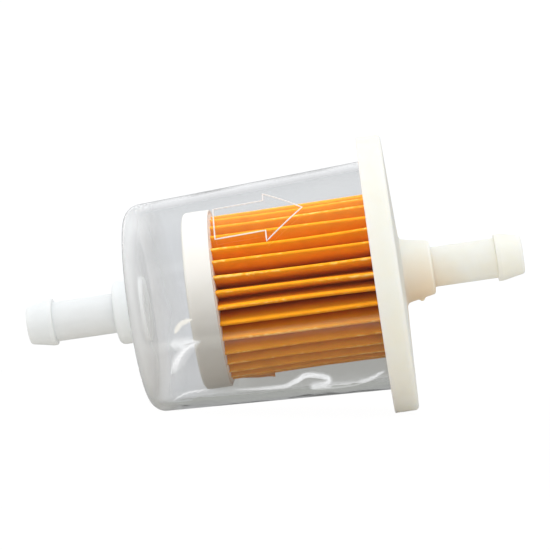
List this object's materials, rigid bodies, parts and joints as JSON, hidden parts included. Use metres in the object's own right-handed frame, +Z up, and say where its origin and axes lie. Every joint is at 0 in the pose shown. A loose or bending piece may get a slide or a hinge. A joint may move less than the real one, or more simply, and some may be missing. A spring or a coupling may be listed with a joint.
{
  "type": "in-line fuel filter",
  "caption": "Small in-line fuel filter: clear tapered bowl with a moulded flow arrow, pleated paper element, flanged cap and a hose barb at each end.",
  "frame": {"origin": "centre of the inlet nipple's mouth", "axes": "+X along the axis from inlet to outlet, the way the arrow points; +Z up; -Y towards the side that carries the arrow, which sits 47.5 degrees from +Z towards -Y"},
  "size_m": [0.0825, 0.0458, 0.0458],
  "materials": {
    "clear_polymer": "clear, polished as moulded",
    "milky_nylon": "milky, slightly see-through, satin",
    "cream_nylon": "cream, slightly see-through, satin",
    "white_plastic": "matte",
    "potting": "cast adhesive, satin",
    "filter_paper": "resin-treated paper, dull",
    "seam_paper": "glued paper, dull"
  },
  "bodies": {
    "root": {"bowl": "clear_polymer", "inlet_fitting": "milky_nylon", "outlet_cap": "cream_nylon", "element_end_cap": "white_plastic", "end_cap_potting": "potting", "outlet_potting": "potting", "pleated_media": "filter_paper", "media_seam": "seam_paper"}
  },
  "joints": []
}
